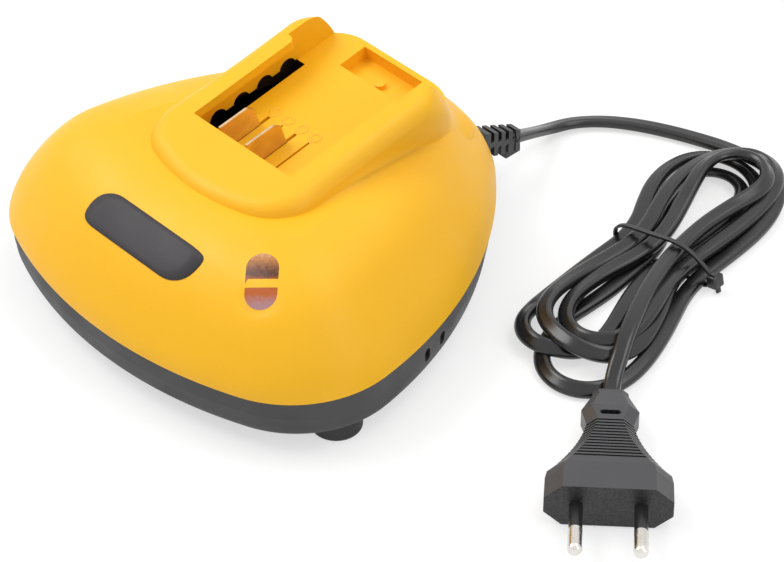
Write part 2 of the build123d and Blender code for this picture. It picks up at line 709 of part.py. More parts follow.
with BuildPart() as heat_sink:
    with BuildSketch(Plane.XY.offset(BOARD_TOP)):
        with Locations(SINK_AT):
            Rectangle(SINK_W, 2)
        with Locations((SINK_AT[0], SINK_AT[1] + 3.5)):
            with GridLocations((SINK_W - 1.4) / (SINK_FINS - 1), 1, SINK_FINS, 1):
                Rectangle(1.4, 5.2)
    extrude(amount=SINK_H)
save(heat_sink, "heat_sink")

with BuildPart() as transistor:
    with Locations((SINK_AT[0], SINK_AT[1] - 1, BOARD_TOP + 4)):
        Box(10, 4.4, 9, align=(Align.CENTER, Align.MAX, Align.MIN))
    with Locations((SINK_AT[0], SINK_AT[1] - 2.2, BOARD_TOP)):
        with GridLocations(2.54, 1, 3, 1):
            Box(0.9, 0.6, 4, align=(Align.CENTER, Align.CENTER, Align.MIN))
save(transistor, "transistor")

# ---- indicator ----------------------------------------------------------------------------

with BuildPart() as indicator_lens:
    add(dome.part)
    loft([housing_section(*level) for level in DOME_HOLLOW], mode=Mode.SUBTRACT)
    add(lens_prism.part, mode=Mode.INTERSECT)
    add(lens_bar.part, mode=Mode.SUBTRACT)
save(indicator_lens, "indicator_lens")

DOWNHILL = Vector(math.cos(math.radians(LENS_DIR)), math.sin(math.radians(LENS_DIR)), 0)
with BuildPart() as led_holder:
    for side, seat in LED_SEATS.values():
        spot = Vector(LENS_AT[0], LENS_AT[1], BOARD_TOP) + DOWNHILL * (side * LED_SHIFT)
        with BuildSketch(Plane(origin=spot, x_dir=DOWNHILL)):
            Rectangle(2 * LED_SHIFT, 8.6)
        extrude(amount=seat - BOARD_TOP)
save(led_holder, "led_holder")

for colour, (side, seat) in LED_SEATS.items():
    spot = Vector(LENS_AT[0], LENS_AT[1], 0) + DOWNHILL * (side * LED_SHIFT)
    with BuildPart() as led:
        post(LED_R, spot.X, spot.Y, seat, seat + LED_L)
        fillet(led.edges().group_by(Axis.Z)[-1], LED_R - 0.05)
        post(LED_RIM_R, spot.X, spot.Y, seat, seat + 1)
    save(led, f"led_{colour}")

# ---- strain relief and mains cord ---------------------------------------------------------

with BuildPart() as strain_relief:
    with BuildSketch(Plane.XZ.offset(-BOOT_ROOT[1])) as root:
        with Locations((BOOT_ROOT[0], BOOT_ROOT[2])):
            Rectangle(*BOOT_SIZES[0])
    with BuildSketch(Plane.XZ.offset(-BOOT_END[1])) as end:
        with Locations((BOOT_END[0], BOOT_END[2])):
            Rectangle(*BOOT_SIZES[1])
    loft([root.sketch, end.sketch])
    # gaps above and below the spine leave upright ribs
    for i in range(BOOT_GAPS):
        y = BOOT_END[1] - 2.2 - BOOT_GAP / 2 - i * BOOT_PITCH
        share = (y - BOOT_ROOT[1]) / (BOOT_END[1] - BOOT_ROOT[1])
        x = BOOT_ROOT[0] + share * (BOOT_END[0] - BOOT_ROOT[0])
        z = BOOT_ROOT[2] + share * (BOOT_END[2] - BOOT_ROOT[2])
        for side in (-1, 1):
            with Locations((x, y, z + side * (BOOT_SPINE / 2 + 4))):
                Box(10, BOOT_GAP, 8, mode=Mode.SUBTRACT)
    core = [Vector(*BOOT_ROOT), Vector(*BOOT_END) - Vector(-0.1, 1.2, -0.55)]
    with BuildSketch(Plane(origin=core[0], z_dir=core[1] - core[0])) as bore:
        Circle(1.9)
    extrude(bore.sketch, amount=(core[1] - core[0]).length)
    with BuildSketch(Plane.XZ.offset(-BOOT_ROOT[1] - 1)):
        with Locations((BOOT_ROOT[0], BOOT_ROOT[2])):
            Rectangle(*BOOT_NECK)
    extrude(amount=6)
    with BuildSketch(Plane.XZ.offset(-64.4)):
        with Locations((BOOT_ROOT[0], BOOT_ROOT[2])):
            Rectangle(BOOT_FLANGE[0], BOOT_FLANGE[1])
    extrude(amount=BOOT_FLANGE[2])
    add(upper_housing.part, mode=Mode.SUBTRACT)
    add(lower_housing.part, mode=Mode.SUBTRACT)
keep_largest(strain_relief)
save(strain_relief, "strain_relief")

for pole, side in (("live", -1), ("neutral", 1)):
    start = Vector(BOOT_ROOT[0] + side * 1.3, 64.4 - BOOT_FLANGE[2], BOOT_ROOT[2])
    low = Vector(BOOT_ROOT[0] + side * 1.6, 44, 18.6)
    far = Vector(30 + side * 1.6, 16, 18.6)
    with BuildPart() as lead:
        wire([start, Vector(start.X, 52, start.Z), low, far, Vector(far.X, far.Y, BOARD_TOP)], 1.1, 1.8)
    save(lead, f"mains_lead_{pole}")

with BuildPart() as hank_body:
    upper = hull_of(HANK_UPPER, 0.05)
    lower = hull_of(HANK_LOWER, 0.05)
    with BuildSketch(Plane.XY.offset(0.05)) as loops:
        add(upper)
        add(lower)
        add(hull_of(HANK_UPPER_HOLE, 0.05), mode=Mode.SUBTRACT)
        add(hull_of(HANK_LOWER_HOLE, 0.05), mode=Mode.SUBTRACT)
    extrude(loops.sketch, amount=HANK_H)
    chamfer(hank_body.faces().sort_by(Axis.Z)[-1].edges(), 1.6)

with BuildPart() as cable_tie:
    with BuildSketch(Plane.XZ.offset(-TIE_AT[1] - TIE_W / 2)) as strap:
        with Locations((TIE_AT[0], (HANK_H + TIE_T) / 2)):
            RectangleRounded(2 * (TIE_HALF + TIE_T), HANK_H + TIE_T, 2.6)
            RectangleRounded(2 * TIE_HALF, HANK_H - TIE_T, 1.4, mode=Mode.SUBTRACT)
    extrude(amount=TIE_W)
    with Locations((TIE_AT[0] + TIE_HALF + TIE_T - 0.3, TIE_HEAD_Y, TIE_HEAD_Z)):
        Box(*TIE_HEAD, align=(Align.MIN, Align.CENTER, Align.MIN))
save(cable_tie, "cable_tie")

# ---- plug ---------------------------------------------------------------------------------

pitch = math.radians(PLUG_PITCH)
turn = math.radians(PLUG_DIR)
PLUG = Plane(
    origin=PLUG_FACE,
    x_dir=(-math.sin(turn), math.cos(turn), 0),
    z_dir=(-math.cos(pitch) * math.cos(turn), -math.cos(pitch) * math.sin(turn), -math.sin(pitch)),
)
with BuildPart() as grooves:
    for i in range(GROOVE_COUNT):
        with BuildSketch(PLUG.offset(GROOVE_FROM + i * GROOVE_PITCH)):
            Rectangle(50, 50)
        extrude(amount=GROOVE_W)
    deep = GROOVE_DEEP
    core = [plug_section(s, w - deep, h - deep, f - deep / 2) for s, w, h, f in PLUG_GRIP]
    loft(core, mode=Mode.SUBTRACT)

with BuildPart() as plug_body:
    loft([plug_section(*level) for level in PLUG_HEAD[:2]])
    loft([plug_section(*level) for level in PLUG_HEAD[1:]], ruled=True)
    loft([plug_section(*level) for level in PLUG_GRIP])
    add(grooves.part, mode=Mode.SUBTRACT)
    loft([plug_section(*level) for level in PLUG_FLANGE], ruled=True)
    loft([plug_section(*level) for level in PLUG_END], ruled=True)
    # slot in the flange's top, square to the floor
    slot_at = PLUG.from_local_coords(Vector(0, 0, PLUG_HOLE_AT))
    with BuildSketch(Plane(origin=(slot_at.X, slot_at.Y, PLUG_HOLE_Z), x_dir=PLUG.x_dir)):
        SlotOverall(*PLUG_HOLE)
    extrude(amount=10, mode=Mode.SUBTRACT)
save(plug_body, "plug_body")

for pole, side in (("left", -1), ("right", 1)):
    with BuildPart() as pin:
        with BuildSketch(PLUG):
            with Locations((side * PIN_GAP / 2, 0)):
                Circle(PIN_CORE_R)
        extrude(amount=-SLEEVE_L)
        with BuildSketch(PLUG.offset(-SLEEVE_L)):
            with Locations((side * PIN_GAP / 2, 0)):
                Circle(PIN_R)
        extrude(amount=SLEEVE_L - PIN_L)
        tip = pin.faces().sort_by(lambda f: PLUG.to_local_coords(f.center()).Z)[0]
        fillet(tip.edges(), PIN_R - 0.3)
    save(pin, f"plug_pin_{pole}")
    with BuildPart() as sleeve:
        with BuildSketch(PLUG):
            with Locations((side * PIN_GAP / 2, 0)):
                Circle(SLEEVE_R)
                Circle(PIN_CORE_R, mode=Mode.SUBTRACT)
        extrude(amount=-SLEEVE_L)
    save(sleeve, f"pin_sleeve_{pole}")

with BuildPart() as cord_hank:
    add(hank_body.part)
    add(cable_tie.part, mode=Mode.SUBTRACT)
    # flat end against the plug
    with BuildSketch(PLUG.offset(PLUG_END[1][0])):
        with Locations((0, 5)):
            Rectangle(16, 30)
    extrude(amount=-30, mode=Mode.SUBTRACT)
save(cord_hank, "cord_hank")

# ---- cord tube ----------------------------------------------------------------------------

runs = [(Vector(*b) - Vector(*a)).length for a, b in zip(CORD_ROUTE, CORD_ROUTE[1:])]
bends = []
for i in range(1, len(CORD_ROUTE) - 1):
    before = Vector(*CORD_ROUTE[i]) - Vector(*CORD_ROUTE[i - 1])
    after = Vector(*CORD_ROUTE[i + 1]) - Vector(*CORD_ROUTE[i])
    half_turn = math.radians(before.get_angle(after) / 2)
    bends.append(0.45 * min(runs[i - 1], runs[i]) / math.tan(half_turn))
print("cord bend radii:", [round(r, 1) for r in bends])

with BuildPart() as mains_cord:
    with BuildLine() as route:
        FilletPolyline(*CORD_ROUTE, radius=bends)
    with BuildSketch(Plane(origin=route.line @ 0, z_dir=route.line % 0)) as ring:
        Circle(CORD_D / 2)
    sweep(ring.sketch, path=route.line)
    length = sum(edge.length for edge in route.edges())
    ideal = math.pi * CORD_D**2 / 4 * length
    print("cord tube length", round(length, 1), "volume over ideal", mains_cord.part.volume / ideal)
    add(strain_relief.part, mode=Mode.SUBTRACT)
    add(cord_hank.part, mode=Mode.SUBTRACT)
keep_largest(mains_cord)
save(mains_cord, "mains_cord")
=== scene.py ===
import math

import bmesh
import bpy
from mathutils import Matrix, Vector
from mathutils.bvhtree import BVHTree


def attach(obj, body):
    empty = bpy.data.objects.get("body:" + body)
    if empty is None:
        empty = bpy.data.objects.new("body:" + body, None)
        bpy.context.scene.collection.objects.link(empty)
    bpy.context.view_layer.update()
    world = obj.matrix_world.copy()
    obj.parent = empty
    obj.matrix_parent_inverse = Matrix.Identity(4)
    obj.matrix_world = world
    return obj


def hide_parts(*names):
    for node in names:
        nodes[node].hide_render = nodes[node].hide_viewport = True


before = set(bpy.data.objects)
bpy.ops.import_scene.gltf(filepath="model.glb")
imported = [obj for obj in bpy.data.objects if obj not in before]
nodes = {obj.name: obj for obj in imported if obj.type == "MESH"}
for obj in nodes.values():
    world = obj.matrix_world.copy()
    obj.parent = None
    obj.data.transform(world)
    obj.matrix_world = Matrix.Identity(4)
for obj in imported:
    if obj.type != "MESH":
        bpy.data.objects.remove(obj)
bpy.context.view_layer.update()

MM = 0.001
scene = bpy.context.scene
scene.view_settings.view_transform = "Standard"


# ---- small helpers --------------------------------------------------------------------------

def add_object(name, data):
    """A new object in the scene that shows this data."""
    thing = bpy.data.objects.new(name, data)
    scene.collection.objects.link(thing)
    return thing


def mesh_object(name, vertices, faces):
    """A smooth-shaded object from points and faces, with its normals outwards."""
    mesh = bpy.data.meshes.new(name)
    mesh.from_pydata([tuple(v) for v in vertices], [], faces)
    mesh.update()
    work = bmesh.new()
    work.from_mesh(mesh)
    bmesh.ops.recalc_face_normals(work, faces=work.faces)
    work.to_mesh(mesh)
    work.free()
    for face in mesh.polygons:
        face.use_smooth = True
    return add_object(name, mesh)


def signed_power(value, power):
    """Power of the value's size, with the value's sign."""
    return math.copysign(abs(value) ** power, value)


def tube_faces(count, ring, closed=False):
    """Faces between each ring of points and the next, and back to the first ring if closed."""
    faces = []
    for i in range(count if closed else count - 1):
        n = (i + 1) % count
        for j in range(ring):
            k = (j + 1) % ring
            faces.append((i * ring + j, i * ring + k, n * ring + k, n * ring + j))
    return faces


def curve_line(name, places, resolution, closed=False):
    """The smooth line that a spline of these control points draws, as a list of points."""
    curve = bpy.data.curves.new(name, "CURVE")
    curve.dimensions = "3D"
    curve.resolution_u = resolution
    spline = curve.splines.new("NURBS")
    spline.points.add(len(places) - 1)
    for knot, place in zip(spline.points, places):
        knot.co = (*place, 1.0)
    spline.order_u = 3
    spline.use_endpoint_u = not closed
    spline.use_cyclic_u = closed
    holder = add_object(name, curve)
    bpy.context.view_layer.update()
    mesh = bpy.data.meshes.new_from_object(holder)
    line = [v.co.copy() for v in mesh.vertices]
    bpy.data.objects.remove(holder)
    bpy.data.curves.remove(curve)
    bpy.data.meshes.remove(mesh)
    return line


# ---- camera ---------------------------------------------------------------------------------

AZIMUTH = 0.8130108
ELEVATION = 0.6892305
TARGET = Vector((25.790, 18.202, 1.5)) * MM
DISTANCE = 0.99902
SENSOR_WIDTH = 36.0
FOCAL_LENGTH = 156.12

back = Vector((
    math.sin(AZIMUTH) * math.cos(ELEVATION),
    -math.cos(AZIMUTH) * math.cos(ELEVATION),
    math.sin(ELEVATION),
))
lens = bpy.data.cameras.new("camera")
lens.sensor_width = SENSOR_WIDTH
lens.lens = FOCAL_LENGTH
lens.clip_start = 0.05
lens.clip_end = 20.0
camera = add_object("camera", lens)
camera.location = TARGET + back * DISTANCE
camera.rotation_mode = "QUATERNION"
camera.rotation_quaternion = (-back).to_track_quat("-Z", "Y")
scene.camera = camera


# ---- places on the part, for its materials and marks ----------------------------------------

# the dock's tilt, and the front end of its rim
DOCK_ANGLE = math.radians(9.7)
DOCK_FRONT = Vector((0.0, -16.0, 55.35)) * MM
SLIDE = Vector((0.0, math.cos(DOCK_ANGLE), math.sin(DOCK_ANGLE)))
DECK_UP = Vector((0.0, -math.sin(DOCK_ANGLE), math.cos(DOCK_ANGLE)))
DECK_START = DOCK_FRONT - DECK_UP * (11.3 * MM)

# the way the plug's pins point; the face that looks this way gets painted shade
PLUG_FACING = Vector((0.683, -0.730, 0.038))

# the indicator window, for the colours under it
WINDOW_MIDDLE = Vector((37.9, -42.1, 44.0)) * MM
WINDOW_TILT = math.radians(38.0)
WINDOW_TURN = math.radians(-46.6)
WINDOW_REACH = 8.3 * MM
WINDOW_WANDER = 1.1 * MM
WINDOW_DOWNHILL = Vector((
    math.cos(WINDOW_TURN) * math.cos(WINDOW_TILT),
    math.sin(WINDOW_TURN) * math.cos(WINDOW_TILT),
    -math.sin(WINDOW_TILT),
))


# ---- procedural materials -------------------------------------------------------------------

class Nodes:
    """A short way to write a node tree."""

    def __init__(self, name):
        self.material = bpy.data.materials.new(name)
        self.material.use_nodes = True
        self.tree = self.material.node_tree
        self.shader = self.tree.nodes["Principled BSDF"]
        self.output = self.tree.nodes["Material Output"]
        self.where = self.add("ShaderNodeTexCoord").outputs["Object"]

    def add(self, kind, **values):
        node = self.tree.nodes.new(kind)
        for key, value in values.items():
            if hasattr(node, key):
                setattr(node, key, value)
            else:
                node.inputs[key].default_value = value
        return node

    def link(self, start, end):
        self.tree.links.new(start, end)

    def noise(self, scale, detail=3.0, rough=0.5, stretch=None):
        node = self.add("ShaderNodeTexNoise", Scale=scale, Detail=detail, Roughness=rough)
        where = self.where
        if stretch:
            mapping = self.add("ShaderNodeMapping", Scale=stretch)
            self.link(where, mapping.inputs["Vector"])
            where = mapping.outputs["Vector"]
        self.link(where, node.inputs["Vector"])
        return node.outputs["Fac"]

    def along(self, vector, direction):
        """How far the vector reaches in this direction."""
        node = self.add("ShaderNodeVectorMath", operation="DOT_PRODUCT")
        self.link(vector, node.inputs[0])
        node.inputs[1].default_value = direction
        return node.outputs["Value"]

    def maths(self, operation, *values):
        node = self.add("ShaderNodeMath", operation=operation)
        for socket, value in zip(node.inputs, values):
            self.link(value, socket)
        return node.outputs[0]

    def ramp(self, factor, stops):
        node = self.add("ShaderNodeValToRGB")
        bar = node.color_ramp
        while len(bar.elements) < len(stops):
            bar.elements.new(0.5)
        for element, (place, colour) in zip(bar.elements, stops):
            element.position = place
            element.color = (*colour, 1.0)
        self.link(factor, node.inputs["Fac"])
        return node.outputs["Color"]

    def spread(self, factor, low, high, start=0.3, end=0.7):
        node = self.add("ShaderNodeMapRange")
        node.inputs["From Min"].default_value = start
        node.inputs["From Max"].default_value = end
        node.inputs["To Min"].default_value = low
        node.inputs["To Max"].default_value = high
        self.link(factor, node.inputs["Value"])
        return node.outputs["Result"]

    def blend(self, factor, first, second, kind="RGBA"):
        node = self.add("ShaderNodeMix", data_type=kind)
        self.link(factor, node.inputs["Factor"])
        for place, value in (("A", first), ("B", second)):
            socket = [s for s in node.inputs if s.name == place and s.type == kind][0]
            if isinstance(value, tuple):
                socket.default_value = (*value, 1.0)
            else:
                self.link(value, socket)
        return [s for s in node.outputs if s.type == kind][0]

    def bump(self, height, strength, depth, below=None):
        node = self.add("ShaderNodeBump", Strength=strength, Distance=depth)
        self.link(height, node.inputs["Height"])
        if below is not None:
            self.link(below, node.inputs["Normal"])
        return node.outputs["Normal"]

    def set(self, **values):
        for key, value in values.items():
            self.shader.inputs[key.replace("_", " ")].default_value = value


# where the dock's block meets the dome, the shading rounds the crease: below the rim, well above
# the seam, and beside or in front of the dock, fading out over each pair of limits
CREASE_RADIUS = 6.0 * MM
CREASE_TOP = 5.0 * MM
CREASE_FADE = 4.0 * MM
CREASE_LOW, CREASE_LOW_END = 33.0 * MM, 28.0 * MM
DOCK_HALF, DOCK_HALF_END = 28.5 * MM, 26.0 * MM
DOCK_NEAR, DOCK_NEAR_END = -20.0 * MM, -17.0 * MM


def soften(made):
    """Normals averaged over the crease round the dock's block, and left alone in the dock."""
    place = made.add("ShaderNodeSeparateXYZ")
    made.link(made.where, place.inputs[0])
    rim = DECK_UP.dot(DOCK_FRONT) - CREASE_TOP
    below = made.spread(made.along(made.where, DECK_UP), 1.0, 0.0, rim - CREASE_FADE, rim)
    raised = made.spread(place.outputs["Z"], 0.0, 1.0, CREASE_LOW_END, CREASE_LOW)
    aside = made.maths("ABSOLUTE", place.outputs["X"])
    aside = made.spread(aside, 0.0, 1.0, DOCK_HALF_END, DOCK_HALF)
    ahead = made.spread(place.outputs["Y"], 1.0, 0.0, DOCK_NEAR, DOCK_NEAR_END)
    outside = made.maths("MAXIMUM", aside, ahead)
    share = made.maths("MULTIPLY", made.maths("MULTIPLY", below, raised), outside)
    rounded = made.add("ShaderNodeBevel", samples=8, Radius=CREASE_RADIUS)
    plain = made.add("ShaderNodeNewGeometry")
    return made.blend(share, plain.outputs["Normal"], rounded.outputs["Normal"], "VECTOR")


# how squarely a face has to look along the direction to be coarse and get the painted shade, from
# none of it to all
SHADED_COARSE_START, SHADED_COARSE_FULL = 0.97, 0.995
COARSE_GRAIN = 1300.0


def shade_coarse_face(made, colour, dark, direction):
    """Coarse speckle on the flat face that looks this way, with painted shade that makes it darker
    than the rest.
    """
    normal = made.add("ShaderNodeNewGeometry").outputs["Normal"]
    flat = made.spread(made.along(normal, direction), 0.0, 1.0, SHADED_COARSE_START, SHADED_COARSE_FULL)
    shaded_speckle = made.ramp(made.noise(COARSE_GRAIN, 5.0, 0.8), [
        (0.42, tuple(0.15 * c for c in dark)), (0.62, tuple(0.95 * c for c in dark)),
    ])
    return made.blend(flat, colour, shaded_speckle)


def moulded(
    name, light, dark, rough, grain, relief, rough_swing=0.08, softened=False, shaded_coarse_face=None,
    **more,
):
    """Moulded plastic or rubber: two close shades, a fine spark-eroded grain and slow ripples."""
    made = Nodes(name)
    broad = made.noise(28.0, 2.0)
    fine = made.noise(grain, 4.0, 0.6)
    colour = made.ramp(broad, [(0.3, dark), (0.7, light)])
    specks = made.spread(fine, 0.0, 0.22, 0.45, 0.75)
    colour = made.blend(specks, colour, tuple(0.82 * c for c in dark))
    # the face that looks this way gets coarse speckle and painted shade
    if shaded_coarse_face:
        colour = shade_coarse_face(made, colour, dark, shaded_coarse_face)
    made.link(colour, made.shader.inputs["Base Color"])
    swing = made.noise(75.0, 3.0)
    made.link(
        made.spread(swing, rough - rough_swing, rough + rough_swing),
        made.shader.inputs["Roughness"],
    )
    ripple = made.bump(made.noise(16.0, 1.0), 0.12, 0.0006, soften(made) if softened else None)
    made.link(made.bump(fine, relief, 0.00006, ripple), made.shader.inputs["Normal"])
    made.set(**more)
    return made.material


def metal(name, light, dark, rough, stretch):
    """Drawn or stamped metal: fine lines along one direction and a faint tarnish."""
    made = Nodes(name)
    lines = made.noise(900.0, 4.0, 0.6, stretch)
    tarnish = made.noise(130.0, 3.0)
    colour = made.ramp(tarnish, [(0.32, dark), (0.68, light)])
    made.link(colour, made.shader.inputs["Base Color"])
    made.link(made.spread(lines, rough - 0.07, rough + 0.1), made.shader.inputs["Roughness"])
    made.link(made.bump(lines, 0.25, 0.00003), made.shader.inputs["Normal"])
    made.set(Metallic=1.0)
    return made.material


def dyed(name, light, dark, rough, scale=220.0, **more):
    """Small parts inside the housing: two shades, mottled, with a little relief."""
    made = Nodes(name)
    mottle = made.noise(scale, 4.0, 0.55)
    made.link(made.ramp(mottle, [(0.35, dark), (0.65, light)]), made.shader.inputs["Base Color"])
    made.link(made.spread(mottle, rough - 0.08, rough + 0.08), made.shader.inputs["Roughness"])
    made.link(made.bump(made.noise(2200.0), 0.15, 0.00004), made.shader.inputs["Normal"])
    made.set(**more)
    return made.material


def clear(name, tint, rough):
    """Clear glass or plastic with a little haze."""
    made = Nodes(name)
    haze = made.noise(420.0, 3.0)
    made.link(
        made.ramp(haze, [(0.3, tint), (0.7, tuple(min(1.0, 1.03 * c) for c in tint))]),
        made.shader.inputs["Base Color"],
    )
    made.link(made.spread(haze, rough, rough + 0.06), made.shader.inputs["Roughness"])
    made.link(made.bump(made.noise(90.0, 2.0), 0.25, 0.0002), made.shader.inputs["Normal"])
    made.set(Transmission_Weight=1.0, IOR=1.49)
    return made.material


def indicator_window():
    """Clear window over two lamps: tan above the housing's bar, orange to pale mauve below it."""
    made = Nodes("clear_lens")
    streaks = made.noise(900.0, 5.0, 0.7, (1.0, 1.0, 0.25))
    wander = made.spread(streaks, -WINDOW_WANDER, WINDOW_WANDER)
    place = made.maths("ADD", made.along(made.where, WINDOW_DOWNHILL), wander)
    middle = WINDOW_DOWNHILL.dot(WINDOW_MIDDLE)
    share = made.spread(place, 0.0, 1.0, middle - WINDOW_REACH, middle + WINDOW_REACH)
    colour = made.ramp(share, [
        (0.03, (0.70, 0.42, 0.20)), (0.20, (0.50, 0.20, 0.060)), (0.38, (0.17, 0.060, 0.025)),
        (0.48, (0.09, 0.038, 0.022)), (0.60, (0.46, 0.085, 0.006)), (0.82, (0.50, 0.115, 0.015)),
        (0.99, (0.42, 0.22, 0.23)),
    ])
    made.link(colour, made.shader.inputs["Base Color"])
    made.link(made.spread(streaks, 0.05, 0.14), made.shader.inputs["Roughness"])
    made.link(made.bump(streaks, 0.3, 0.0002), made.shader.inputs["Normal"])
    made.set(Transmission_Weight=0.06, IOR=1.49, Specular_IOR_Level=0.4)
    return made.material


def laminate():
    """Glass-epoxy board: green solder mask with copper tracks under it."""
    made = Nodes("board_laminate")
    tracks = made.add("ShaderNodeTexBrick", Scale=42.0, offset=0.37)
    tracks.inputs["Mortar Size"].default_value = 0.045
    made.link(made.where, tracks.inputs["Vector"])
    mask = made.ramp(made.noise(160.0), [
        (0.3, (0.010, 0.085, 0.034)), (0.7, (0.014, 0.115, 0.05)),
    ])
    colour = made.blend(tracks.outputs["Fac"], mask, (0.035, 0.19, 0.07))
    made.link(colour, made.shader.inputs["Base Color"])
    made.link(made.bump(tracks.outputs["Fac"], 0.5, 0.00004), made.shader.inputs["Normal"])
    made.link(made.spread(made.noise(90.0), 0.28, 0.42), made.shader.inputs["Roughness"])
    return made.material


def cord_sheath():
    """Black flexible sheath: satin, with slow kinks in its gloss and faint dust."""
    made = Nodes("cord_black")
    dust = made.noise(900.0, 4.0, 0.65)
    slow = made.noise(46.0, 2.0)
    colour = made.ramp(slow, [(0.3, (0.0060, 0.0060, 0.0068)), (0.7, (0.0105, 0.0100, 0.0112))])
    colour = made.blend(made.spread(dust, 0.0, 0.35, 0.6, 0.8), colour, (0.035, 0.034, 0.036))
    made.link(colour, made.shader.inputs["Base Color"])
    made.link(made.spread(slow, 0.20, 0.33), made.shader.inputs["Roughness"])
    wavy = made.bump(made.noise(110.0, 2.0), 0.3, 0.0003)
    made.link(made.bump(dust, 0.12, 0.00005, wavy), made.shader.inputs["Normal"])
    made.set(Specular_IOR_Level=0.62)
    return made.material


yellow = moulded(
    "shell_yellow", (0.93, 0.490, 0.012), (0.90, 0.465, 0.009), 0.43, 2600.0, 0.22,
    softened=True, Specular_IOR_Level=0.34,
)
charcoal = moulded(
    "shell_charcoal", (0.058, 0.058, 0.060), (0.046, 0.046, 0.048), 0.55, 2100.0, 0.5,
    Specular_IOR_Level=0.42,
)
rubber = moulded(
    "foot_rubber", (0.024, 0.024, 0.026), (0.017, 0.017, 0.018), 0.62, 1700.0, 0.4,
)
black_plastic = moulded(
    "black_moulding", (0.018, 0.018, 0.019), (0.013, 0.013, 0.014), 0.42, 2400.0, 0.25,
)
boot_plastic = moulded(
    "boot_black", (0.017, 0.017, 0.018), (0.012, 0.012, 0.013), 0.45, 2000.0, 0.35,
)
# the face along the pins gets coarse speckle and painted shade, darker than the rest of the plug
plug_plastic = moulded(
    "plug_black", (0.052, 0.050, 0.055), (0.041, 0.040, 0.043), 0.38, 1500.0, 0.45,
    shaded_coarse_face=PLUG_FACING, Specular_IOR_Level=0.55,
)
sleeve_plastic = moulded(
    "sleeve_black", (0.014, 0.014, 0.015), (0.010, 0.010, 0.011), 0.3, 2600.0, 0.2,
)
sheath = cord_sheath()
nylon = moulded(
    "tie_nylon", (0.016, 0.016, 0.017), (0.010, 0.010, 0.011), 0.36, 2400.0, 0.3,
    Specular_IOR_Level=0.6,
)
nickel = metal("pin_nickel", (0.80, 0.78, 0.74), (0.66, 0.63, 0.58), 0.24, (1.0, 1.0, 0.12))
brass = metal("contact_metal", (0.80, 0.60, 0.36), (0.66, 0.46, 0.25), 0.3, (1.0, 0.08, 1.0))
steel = metal("screw_steel", (0.62, 0.61, 0.59), (0.45, 0.44, 0.43), 0.32, (0.2, 1.0, 1.0))
aluminium = metal("sink_aluminium", (0.80, 0.80, 0.81), (0.66, 0.66, 0.67), 0.36, (0.1, 1.0, 1.0))
board = laminate()
ferrite = dyed("ferrite", (0.040, 0.038, 0.038), (0.022, 0.021, 0.021), 0.7, 500.0)
tape = dyed("winding_tape", (0.86, 0.62, 0.07), (0.74, 0.50, 0.04), 0.38, 120.0)
capacitor = dyed("capacitor_sleeve", (0.020, 0.026, 0.075), (0.012, 0.016, 0.050), 0.3, 150.0)
fuse_glass = clear("fuse_glass", (0.86, 0.93, 0.90), 0.04)
green_led = dyed(
    "led_green", (0.10, 0.42, 0.12), (0.06, 0.32, 0.08), 0.15, 160.0, Transmission_Weight=0.35,
)
red_led = dyed(
    "led_red", (0.62, 0.035, 0.02), (0.48, 0.02, 0.012), 0.15, 160.0, Transmission_Weight=0.35,
)
window = indicator_window()
wire_red = dyed("wire_red", (0.46, 0.020, 0.014), (0.36, 0.012, 0.010), 0.35)
wire_black = dyed("wire_black", (0.014, 0.014, 0.015), (0.009, 0.009, 0.010), 0.35)
wire_brown = dyed("wire_brown", (0.14, 0.050, 0.020), (0.10, 0.035, 0.014), 0.35)
wire_blue = dyed("wire_blue", (0.020, 0.085, 0.36), (0.013, 0.060, 0.26), 0.35)
label_black = moulded(
    "label_black", (0.054, 0.049, 0.053), (0.041, 0.037, 0.040), 0.5, 1500.0, 0.2,
    rough_swing=0.05, Specular_IOR_Level=0.3,
)
label_edge = moulded(
    "label_edge", (0.052, 0.044, 0.040), (0.040, 0.034, 0.031), 0.5, 3200.0, 0.12,
    Specular_IOR_Level=0.3,
)
mark_ink = moulded("deck_mark", (0.92, 0.475, 0.013), (0.89, 0.450, 0.010), 0.5, 2600.0, 0.2)
# painted shade: a dark brown copy of the yellow, for the upper housing's closed-in inside faces
painted_shade_inside = moulded(
    "housing_inside_painted_shade", (0.030, 0.016, 0.006), (0.022, 0.011, 0.005), 0.7, 1800.0, 0.2,
    Specular_IOR_Level=0.1,
)

# a key that ends in an underscore stands for every node whose name starts with it
FINISH = {
    "upper_housing": yellow,
    "lower_housing": charcoal,
    "foot_": rubber,
    "housing_screw_": steel,
    "board_screw_": steel,
    "contact_holder": black_plastic,
    "contact_blade_": brass,
    "contact_lead_positive": wire_red,
    "contact_lead_negative": wire_black,
    "circuit_board": board,
    "transformer_core": ferrite,
    "transformer_winding": tape,
    "capacitor_": capacitor,
    "fuse": fuse_glass,
    "fuse_clip_": steel,
    "rectifier": black_plastic,
    "heat_sink": aluminium,
    "transistor": black_plastic,
    "led_holder": black_plastic,
    "led_green": green_led,
    "led_red": red_led,
    "indicator_lens": window,
    "strain_relief": boot_plastic,
    "mains_lead_live": wire_brown,
    "mains_lead_neutral": wire_blue,
    "cable_tie": nylon,
    "plug_body": plug_plastic,
    "plug_pin_": nickel,
    "pin_sleeve_": sleeve_plastic,
    "cord_hank": sheath,
    "mains_cord": sheath,
}
for node_name, thing in nodes.items():
    matches = [
        key for key in FINISH
        if node_name == key or (key.endswith("_") and node_name.startswith(key))
    ]
    finish = FINISH[max(matches, key=len)]
    thing.data.materials.clear()
    thing.data.materials.append(finish)
    for face in thing.data.polygons:
        face.material_index = 0


# ---- painted shade inside the upper housing -------------------------------------------------

